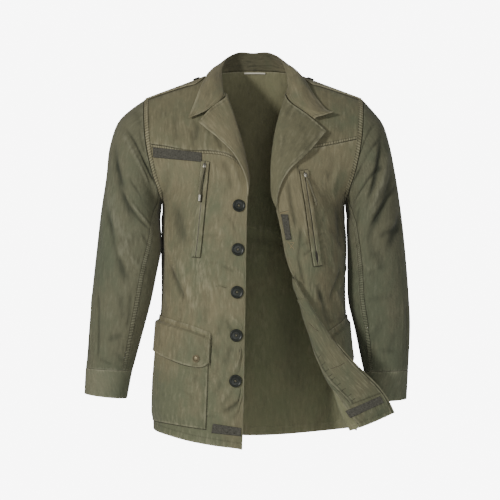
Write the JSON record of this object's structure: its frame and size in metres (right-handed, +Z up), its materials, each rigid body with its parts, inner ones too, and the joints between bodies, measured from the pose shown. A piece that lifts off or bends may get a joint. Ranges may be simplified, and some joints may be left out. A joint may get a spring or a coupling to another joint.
{
  "type": "field jacket",
  "caption": "Olive cotton field jacket, worn open: notched collar, shoulder straps, slanted chest zips, flapped hip pockets, button front with one corner turned back.",
  "frame": {"origin": "centre of the neck base, level with the shoulder seams at the neck, where the wearer's shoulders hold the jacket up", "axes": "+Z up, the front faces -Y, +X is the wearer's left"},
  "size_m": [0.6119, 0.3037, 0.7481],
  "materials": {
    "olive_cotton": "cotton satin twill, matt",
    "hook_tape": "hook tape, rough",
    "zip_tape": "woven tape, matt",
    "button_plastic": "glossy, moulded",
    "brass": "dull, plated",
    "zip_steel": "bright, worn",
    "cord": "braided cord",
    "label_tape": "woven tape"
  },
  "bodies": {
    "root": {"back": "olive_cotton", "button_1": "button_plastic", "button_2": "button_plastic", "button_3": "button_plastic", "button_4": "button_plastic", "button_5": "button_plastic", "collar": "olive_cotton", "cuff_button_left": "button_plastic", "cuff_button_right": "button_plastic", "cuff_left": "olive_cotton", "cuff_right": "olive_cotton", "facing_left": "olive_cotton", "facing_right": "olive_cotton", "fly_left": "olive_cotton", "front_left": "olive_cotton", "front_right": "olive_cotton", "hook_tape_hem": "hook_tape", "hook_tape_inside": "hook_tape", "hook_tape_name": "hook_tape", "hook_tape_rank": "hook_tape", "neck_label": "label_tape", "pocket_flap_left": "olive_cotton", "pocket_flap_right": "olive_cotton", "pocket_left": "olive_cotton", "pocket_right": "olive_cotton", "shoulder_strap_left": "olive_cotton", "shoulder_strap_right": "olive_cotton", "sleeve_top_left": "olive_cotton", "sleeve_top_right": "olive_cotton", "sleeve_under_left": "olive_cotton", "sleeve_under_right": "olive_cotton", "snap_left": "brass", "snap_right": "brass", "strap_button_left": "button_plastic", "strap_button_right": "button_plastic", "welt_in_left": "olive_cotton", "welt_in_right": "olive_cotton", "welt_out_left": "olive_cotton", "welt_out_right": "olive_cotton", "yoke_left": "olive_cotton", "yoke_right": "olive_cotton", "zip_pull_left": "cord", "zip_pull_right": "cord", "zip_slider_left": "zip_steel", "zip_slider_right": "zip_steel", "zip_tape_left": "zip_tape", "zip_tape_right": "zip_tape"}
  },
  "joints": []
}
